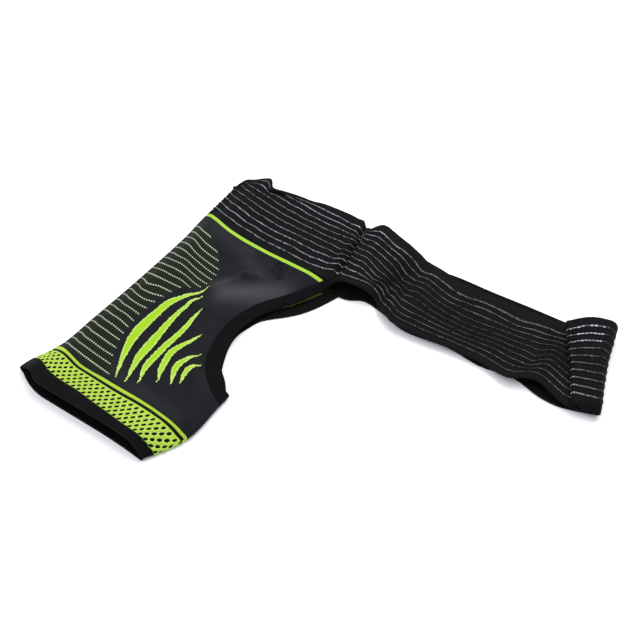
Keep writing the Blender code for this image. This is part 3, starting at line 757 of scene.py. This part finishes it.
binding_face = black_rib("black_nylon_binding", "#030304", "#060608", 1.1, 0.05, 0.8, 0.0)
binding_back = black_rib("black_nylon_binding_reverse", "#050505", "#090909", 1.1, 0.08, 0.85, 0.0)
stations = [k / BINDING_STEPS for k in range(last_station * BINDING_STEPS + 1)]
front_rows = [binding_row("front", at) for at in stations]
back_rows = [binding_row("back", at) for at in reversed(stations)]
underarm_rows = []
for k in range(1, UNDERARM_STEPS):
    angle = math.pi * k / UNDERARM_STEPS
    underarm_rows.append([knot._replace(x=knot.x + FOLD_RADIUS * math.sin(angle),
                                        z=FOLD_RADIUS * (1.0 + math.cos(angle))) for knot in front_rows[-1]])
binding_rows = [row[::-1] for row in front_rows + underarm_rows + back_rows]
armhole_binding = knit_piece("black_armhole_binding", [binding_rows], BINDING_WALL, 0.6, (), (binding_face, binding_back))
declare(armhole_binding, "armhole_binding")


# Chest band
# Closed loop of ribbed black elastic, 75 mm wide, that goes from the shoulder round the chest. Ten
# pale covered-rubber yarns float over its ribs. It lies flat in two layers, humped near the shoulder,
# and its far end is folded back over itself.
BAND_WALL = 1.8
RIB_PITCH = 6.7
RIBS = 10
FIRST_RIB_SHARE = 0.1013
RIB_SHARE = 0.0895
MARGIN_KNOTS = 3
KNOT_OFFSETS = (-2.6, -1.7, -1.0, -0.5, 0.0, 0.5, 1.0, 1.7, 2.6)
RIB_RISE = 0.5
GROOVE_DEPTH = 0.45
CHEST_CORNER = 144.0
SEAM_EASE = 8.0
EDGE_DROOP = 0.3
CALM_ROWS = 1.5
LOWEST_TOP = 4.2
FLAP_UNDERSIDE = 6.5
FLAP_RISE = 2.0
FLAP_NECK_RISE = 2.5
FLAP_ARCH = 4.0
FOLD_TURN = 10
FOLD_BLEND = 8
BAND_WIDTH = 75.0
BAND_STEP = 2.0
LOWER_STEP = 4.5
# Upper layer, row by row from the outer fold: x at its lower and its neck edge, then y at the lower edge, at
# ribs 1, 3, 5, 7, 9 and 10 and at the neck edge
TABLE_SHARES = (0.0, 0.1013, 0.2803, 0.4593, 0.6383, 0.8173, 0.9068, 1.0)
UPPER_LAYER = (
    (2.1, -1.6, (219.1, 227.6, 242.6, 255.2, 257.2, 257.8, 258.2, 259.2)),
    (4.6, 0.6, (218.8, 227.0, 241.4, 255.2, 267.8, 268.9, 269.4, 271.4)),
    (11.2, 8.8, (216.4, 223.8, 238.2, 252.0, 265.0, 272.0, 272.8, 275.0)),
    (21.0, 19.2, (213.2, 220.6, 235.2, 248.8, 262.2, 276.4, 278.8, 281.4)),
    (26.4, 24.5, (211.8, 219.4, 233.8, 247.2, 261.2, 273.5, 275.6, 278.2)),
    (32.0, 30.0, (210.6, 218.0, 232.6, 246.0, 260.6, 268.2, 268.8, 272.6)),
    (43.8, 41.6, (208.8, 216.6, 230.2, 244.8, 258.4, 270.8, 271.4, 274.9)),
    (56.0, 54.0, (208.0, 215.2, 229.4, 243.8, 256.8, 270.0, 273.2, 277.0)),
    (68.0, 67.1, (207.6, 214.6, 228.6, 242.8, 256.4, 269.8, 274.4, 278.3)),
    (80.0, 80.0, (207.4, 215.2, 229.8, 243.2, 256.0, 268.0, 274.8, 281.6)),
    (104.0, 103.0, (208.2, 214.6, 229.0, 243.2, 256.2, 268.8, 274.2, 283.2)),
    (114.5, 111.9, (208.6, 215.2, 230.2, 243.6, 257.4, 268.0, 273.6, 282.6)),
    (124.0, 119.0, (209.2, 217.2, 231.4, 244.0, 258.6, 268.6, 275.0, 283.8)),
    (132.5, 123.8, (216.2, 222.6, 238.4, 251.0, 263.6, 273.4, 277.0, 279.2)),
    (136.4, 125.8, (216.6, 223.0, 237.0, 248.6, 260.8, 271.0, 275.0, 278.0)),
    (140.0, 128.0, (214.4, 220.8, 234.8, 246.8, 259.2, 270.8, 275.2, 278.8)),
    (146.1, 132.9, (213.2, 219.6, 233.0, 245.0, 257.8, 270.4, 276.0, 284.6)),
    (152.0, 139.0, (213.4, 219.8, 232.4, 244.4, 256.8, 270.0, 276.2, 286.0)),
    (158.8, 147.9, (214.8, 221.2, 230.4, 241.8, 255.0, 267.8, 273.6, 283.8)),
    (166.0, 158.0, (216.0, 222.4, 228.8, 239.4, 252.8, 265.4, 271.0, 281.8)),
    (173.8, 167.9, (216.0, 222.4, 232.6, 240.0, 252.0, 265.0, 271.4, 281.2)),
    (182.0, 178.0, (210.0, 216.4, 228.0, 240.6, 249.2, 263.8, 271.0, 281.6)),
    (190.4, 187.6, (206.2, 212.6, 223.4, 233.4, 245.8, 258.2, 263.6, 276.8)),
    (200.0, 198.0, (202.2, 208.6, 219.6, 234.0, 246.8, 258.4, 264.8, 275.2)),
    (225.0, 224.0, (203.6, 210.0, 220.4, 230.8, 242.0, 253.4, 260.2, 272.4)),
    (252.0, 252.0, (207.4, 213.8, 222.4, 231.8, 242.6, 258.0, 264.2, 275.0)),
    (278.0, 277.0, (208.8, 215.2, 226.2, 235.8, 247.0, 257.8, 264.4, 277.2)),
    (302.0, 298.0, (205.6, 212.0, 224.0, 236.6, 248.8, 261.4, 268.2, 279.0)),
    (314.0, 305.3, (211.6, 218.0, 225.2, 236.4, 251.4, 263.2, 269.6, 281.2)),
    (326.0, 312.0, (215.2, 221.6, 234.6, 246.0, 256.4, 265.8, 271.0, 282.8)),
    (350.0, 328.0, (209.5, 217.0, 230.4, 243.7, 257.1, 270.4, 277.1, 285.0)),
    (371.5, 341.0, (213.0, 221.0, 235.0, 249.1, 263.1, 277.2, 284.2, 292.5)),
)

# Its folds and hollows: x and height of each where it meets the lower edge and the neck edge
BAND_PROFILE = (
    (2.1, -1.6, 6.2, 6.2), (14.0, 14.0, 9.8, 9.8), (30.0, 30.0, 11.4, 11.4), (100.0, 94.0, 11.4, 11.4),
    (127.0, 114.5, 11.2, 11.6), (131.2, 117.8, 10.4, 10.2), (134.0, 120.0, 6.0, 3.4),
    (137.0, 122.3, 9.8, 8.2), (141.0, 125.5, 12.0, 11.0), (153.0, 137.0, 14.8, 15.0),
    (166.0, 164.0, 12.6, 12.4), (176.0, 180.0, 4.6, 4.4), (184.0, 188.0, 7.8, 7.4), (200.0, 206.0, 8.4, 8.2),
    (240.0, 240.0, 6.8, 6.8), (285.0, 285.0, 6.0, 6.0), (316.0, 296.0, 10.4, 6.2), (340.0, 310.0, 6.5, 5.6),
    (352.0, 322.0, 5.6, 5.4),
)

# Lower layer, row by row back from the turned-back end: x and y of its lower and its neck edge
LOWER_LAYER = (
    (371.5, 217.0, 341.0, 291.5), (350.0, 209.0, 328.0, 289.0), (330.0, 208.0, 308.0, 287.0),
    (304.0, 213.0, 292.0, 286.0), (276.0, 208.5, 274.0, 284.8), (246.0, 210.5, 246.0, 282.4),
    (210.0, 205.5, 212.0, 280.4), (184.0, 211.5, 184.0, 275.5), (165.0, 214.0, 164.0, 277.0),
    (150.0, 206.6, 146.0, 278.0), (122.0, 206.6, 120.0, 279.0), (90.0, 205.0, 88.0, 279.0),
    (60.0, 205.0, 56.0, 276.0), (34.0, 207.0, 30.0, 271.0), (11.2, 214.0, 8.8, 273.0), (2.1, 219.1, -1.6, 258.6),
)

# Turned-back end at the shares above: x and y on its free fold and on its crease, and the heights there
FLAP = (
    (357.2, 211.0, 375.6, 216.0, 11.5, 13.4), (352.8, 218.8, 371.7, 222.4, 11.6, 13.7),
    (345.4, 232.0, 363.9, 237.1, 11.8, 14.2), (337.9, 244.5, 356.8, 251.8, 12.0, 14.7),
    (330.4, 256.3, 350.5, 266.8, 12.2, 15.2), (323.2, 267.8, 346.6, 281.5, 12.4, 15.7),
    (319.7, 273.5, 344.4, 288.5, 12.5, 16.0), (314.5, 281.3, 342.4, 297.0, 12.6, 16.2),
)

# How much of each pale line shows, from the lower edge up: on the band and on its turned-back end
LINE_SHOWS = (0.46, 0.58, 0.55, 0.36, 0.3, 0.3, 0.34, 0.5, 0.68, 0.62)
FLAP_LINE_SHOWS = (0.5, 0.42, 0.3, 0.24, 0.22, 0.22, 0.32, 1.0, 1.25, 1.0)
# From the first x to the second the pale lines lose this share of their brightness, and they stay so beyond.
FADE_FROM = 150.0
FADE_TO = 200.0
FADE_SHARE = 0.62
HANG = 0.08
HANG_DROP = 6.0
HANG_OUT = 2.0


def band_shares():
    """Places of the knots across the band: close together over each rib, wide on the margins."""
    places = [FIRST_RIB_SHARE + (k + offset / RIB_PITCH) * RIB_SHARE for k in range(RIBS) for offset in KNOT_OFFSETS]
    first, last = places[0], places[-1]
    low = [first * k / MARGIN_KNOTS for k in range(MARGIN_KNOTS)]
    return low + places + [mix(last, 1.0, (k + 1) / MARGIN_KNOTS) for k in range(MARGIN_KNOTS)]


def table_row(table, at):
    """Interpolated row of a table whose rows are spaced evenly, nested numbers included."""
    first = table[0]
    stations = range(len(table))
    return [table_row([row[k] for row in table], at) if isinstance(first[k], tuple)
            else curve(stations, [row[k] for row in table], at) for k in range(len(first))]


def on_seam(x, y, side):
    """Beside the sleeve a layer's lower edge follows the shoulder seam."""
    outer = curve(TUBE["course"], TUBE["outer"], SHOULDER_COURSE) + FOLD_RADIUS
    inner = curve(TUBE["course"], TUBE["inner"], SHOULDER_COURSE) - FOLD_RADIUS
    bend = course_bend(SHOULDER_COURSE, x, outer, inner, side)
    return mix(y, SHOULDER_COURSE + SEAM_GAP + bend, clamp((CHEST_CORNER - x) / SEAM_EASE))


def band_rows():
    """Rows across the band, all the way round the loop, each with the name of its part."""
    shares = band_shares()
    tilt = math.atan2(FLAP[0][2] - FLAP[-1][2], FLAP[-1][3] - FLAP[0][3])
    out_x, out_y = math.cos(tilt), math.sin(tilt)

    def upper_row(at):
        low_x, neck_x, across = table_row(UPPER_LAYER, at)
        across[0] = on_seam(low_x, across[0], "front")
        calm = clamp(at / CALM_ROWS) * clamp((len(UPPER_LAYER) - 2.0 - at) / CALM_ROWS)
        row = []
        for share in shares:
            x = mix(low_x, neck_x, share)
            y = curve(TABLE_SHARES, across, share)
            places = [mix(fold[0], fold[1], share) for fold in BAND_PROFILE]
            z = curve(places, [mix(fold[2], fold[3], share) for fold in BAND_PROFILE], x)
            free_low = clamp((x - CHEST_CORNER) / SEAM_EASE + 1.0)
            droop = EDGE_DROOP * abs(2.0 * share - 1.0) ** 4 * (1.0 if share > 0.5 else free_low)
            z += (0.4 * wrinkle(x, y * 0.6, 17.0, 4.0) - droop) * calm
            row.append((x, y, max(z, LOWEST_TOP)))
        return row

    def lower_row(at):
        low_x, low_y, neck_x, neck_y = table_row(LOWER_LAYER, at)
        low_y = on_seam(low_x, low_y, "back")
        return [(mix(low_x, neck_x, share), mix(low_y, neck_y, share), 0.0) for share in shares]

    def flap_row(along, underside):
        row = []
        for share in shares:
            free_x, free_y, crease_x, crease_y, low, high = [curve(TABLE_SHARES, column, share) for column in zip(*FLAP)]
            z = mix(low, high, along) + FLAP_ARCH * math.sin(math.pi * along) * share**3
            if underside:
                z = FLAP_UNDERSIDE + along * (FLAP_RISE + FLAP_NECK_RISE * share)
            hang = 0.0 if underside else clamp(1.0 - share / HANG) * clamp(along / 0.3)
            row.append((mix(free_x, crease_x, along), mix(free_y, crease_y, along) - HANG_OUT * hang,
                        z - HANG_DROP * hang**2))
        return row

    def turn(top, bottom, count, low_reach, neck_reach):
        """Half turn down from the top row to the bottom row, bulging outwards by the reach."""
        rows = []
        for k in range(1, count):
            angle = math.pi * k / count
            points = []
            for share, over, under in zip(shares, top, bottom):
                reach = mix(low_reach, neck_reach, share) * math.sin(angle)
                x, y = mix(over[0], under[0], k / count), mix(over[1], under[1], k / count)
                points.append((x + reach * out_x, y + reach * out_y,
                               mix(under[2], over[2], (1.0 + math.cos(angle)) / 2.0)))
            rows.append(points)
        return rows

    def stepped(neck, step):
        stations = []
        for k, length in enumerate([math.dist(a, b) for a, b in zip(neck, neck[1:])]):
            count = max(2, round(length / step))
            stations += [k + j / count for j in range(count)]
        return stations + [len(neck) - 1.0]

    upper = [upper_row(at) for at in stepped([(row[1], row[2][6]) for row in UPPER_LAYER], BAND_STEP)]
    lower = [lower_row(at) for at in stepped([row[2:] for row in LOWER_LAYER], LOWER_STEP)]
    for back in range(FOLD_BLEND):
        share = (1.0 - back / FOLD_BLEND) ** 2
        lower[-1 - back] = [(mix(x, near[0], share if back == 0 else 0.0), mix(y, mix(y, near[1], share), 1.0), z)
                            for (x, y, z), near in zip(lower[-1 - back], upper[0])]
    inside = [flap_row(1.0 - k / 12.0, True) for k in range(3, 13)]
    outside = [flap_row(k / 15.0, False) for k in range(16)]
    inner_turn = turn(inside[0], upper[-1], 10, 2.0, 3.0)[::-1]
    free_turn = turn(outside[0], inside[-1], 10, -2.4, -2.8)[::-1]
    crease_turn = turn(outside[-1], lower[0], 18, 3.5, 8.0)
    shoulder = []
    for k in range(1, FOLD_TURN):
        angle = math.pi * k / FOLD_TURN
        shoulder.append([(x - z / 2.0 * math.sin(angle), y, z / 2.0 * (1.0 - math.cos(angle)))
                         for x, y, z in upper[0]])
    parts = (("upper", upper), ("turn", inner_turn), ("inside", inside), ("turn", free_turn),
             ("flap", outside[:14]), ("crease", outside[14:] + crease_turn), ("lower", lower), ("shoulder", shoulder),
             ("upper", upper[:1]))
    return shares, [(part, row) for part, rows in parts for row in rows]


def band_knots():
    shares, rows = band_rows()
    centre = len(shares) // 2
    knots = []
    travelled = 0.0
    before = rows[0][1][centre]
    for part, row in rows:
        travelled += math.dist(before, row[centre])
        before = row[centre]
        knot_row = []
        for k, (share, (x, y, z)) in enumerate(zip(shares, row)):
            v = (share - FIRST_RIB_SHARE) / RIB_SHARE * RIB_PITCH
            v += 0.6 * wrinkle(travelled, share * 40.0, 11.0, 9.0)
            off = abs((v + RIB_PITCH / 2.0) % RIB_PITCH - RIB_PITCH / 2.0)
            low, high = max(0, k - 1), min(len(shares) - 1, k + 1)
            laid_open = math.dist(row[low], row[high]) / ((shares[high] - shares[low]) * BAND_WIDTH)
            laid_open = clamp(2.0 * laid_open - 0.6)
            rib = round(clamp(v / RIB_PITCH, 0.0, RIBS - 1.0))
            on_rib = laid_open if abs(v - rib * RIB_PITCH) < RIB_PITCH / 2.0 else 0.0
            relief = on_rib * (RIB_RISE * clamp(1.0 - off / 0.9) - GROOVE_DEPTH * clamp(1.0 - abs(off - 1.6) / 0.9))
            faded = FADE_SHARE * clamp((x - FADE_FROM) / (FADE_TO - FADE_FROM))
            bright = {"flap": FLAP_LINE_SHOWS[rib], "crease": 0.12, "turn": 0.4}.get(part, LINE_SHOWS[rib] * (1.0 - faded))
            knot_row.append(Knot(x, y, z, travelled, v, relief, (bright * laid_open,)))
        knots.append(knot_row)
    return knots


def ribbed_elastic():
    """Black elastic with pale floats: each float is a row of short bright stitches between grooves painted darker as
    shade.
    """
    material, tree, surface, along, across = knit_finish("black_ribbed_elastic", 0.7, 0.0)
    bright = node(tree, "Attribute", attribute_name="bright").outputs["Fac"]
    off = node(tree, "Math", {0: across, 1: RIB_PITCH / 2.0}, operation="PINGPONG")
    inside_ribs = node(tree, "Math", {0: across, 1: (RIBS - 1) * RIB_PITCH / 2.0}, operation="SUBTRACT")
    inside_ribs = node(tree, "Math", {0: inside_ribs}, operation="ABSOLUTE")
    inside_ribs = node(tree, "Math", {0: inside_ribs, 1: (RIBS - 1) * RIB_PITCH / 2.0 + 1.2}, operation="LESS_THAN")
    line = node(tree, "MapRange", {0: off, 1: 0.35, 2: 0.75, 3: 1.0, 4: 0.0})
    line = node(tree, "Math", {0: line, 1: inside_ribs}, operation="MULTIPLY")
    rib_number = node(tree, "Math", {0: across, 1: RIB_PITCH}, operation="SNAP")
    stitch_number = node(tree, "Math", {0: along, 1: 2.4}, operation="SNAP")
    cell = node(tree, "CombineXYZ", {0: stitch_number, 1: rib_number})
    chance = node(tree, "TexWhiteNoise", {"Vector": cell}, noise_dimensions="2D")
    dash = node(tree, "Math", {0: along, 1: 1.2}, operation="PINGPONG")
    dash = node(tree, "MapRange", {0: dash, 1: 0.15, 2: 0.55, 3: 0.15, 4: 1.0})
    strength = node(tree, "MapRange", {0: chance.outputs[0], 1: 0.0, 2: 1.0, 3: 0.1, 4: 1.25})
    float_light = node(tree, "Math", {0: dash, 1: strength}, operation="MULTIPLY")
    float_light = node(tree, "Math", {0: float_light, 1: bright}, operation="MULTIPLY")
    pale = node(tree, "Math", {0: float_light, 1: line}, operation="MULTIPLY")
    # Painted shade: the grooves beside each float are painted darker.
    groove = node(tree, "Math", {0: off, 1: 1.5}, operation="SUBTRACT")
    groove = node(tree, "Math", {0: groove}, operation="ABSOLUTE")
    groove = node(tree, "MapRange", {0: groove, 1: 0.3, 2: 1.0, 3: 0.8, 4: 0.0})
    groove = node(tree, "Math", {0: groove, 1: inside_ribs}, operation="MULTIPLY")
    fleck = node(tree, "TexNoise", {"Vector": node(tree, "UVMap", uv_map="knit"), "Scale": 0.55, "Detail": 1.0})
    fleck = node(tree, "MapRange", {0: fleck, 1: 0.35, 2: 0.65, 3: 0.0, 4: 1.0})
    ground = node(tree, "Mix", {0: fleck, 6: linear("#050507"), 7: linear("#0c0c10")}, data_type="RGBA")
    ground = node(tree, "Mix", {0: groove, 6: ground.outputs[2], 7: linear("#030304")}, data_type="RGBA")
    colour = node(tree, "Mix", {0: pale, 6: ground.outputs[2], 7: linear("#c4c4c8")}, data_type="RGBA")
    tree.links.new(colour.outputs[2], surface.inputs["Base Color"])
    stitch = ribs(tree, along, 1.3)
    wale = ribs(tree, across, 1.4)
    height = node(tree, "Math", {0: stitch, 1: wale}, operation="MULTIPLY")
    height = node(tree, "Math", {0: pale, 1: 2.0, 2: height}, operation="MULTIPLY_ADD")
    raise_surface(tree, surface, height, 0.12)
    return material


band_reverse = black_rib("black_ribbed_elastic_reverse", "#060607", "#0c0c0d", 1.6, 0.15, 0.85, 0.0)
loop_knots = band_knots()
loop_knots = [list(row) for row in zip(*[row[::-1] for row in loop_knots])]
loop_knots = [row[::-1] for row in loop_knots]
chest_band = knit_piece("black_chest_band", [loop_knots], BAND_WALL, 0.5, ("bright",),
                        (ribbed_elastic(), band_reverse))
declare(chest_band, "chest_band")
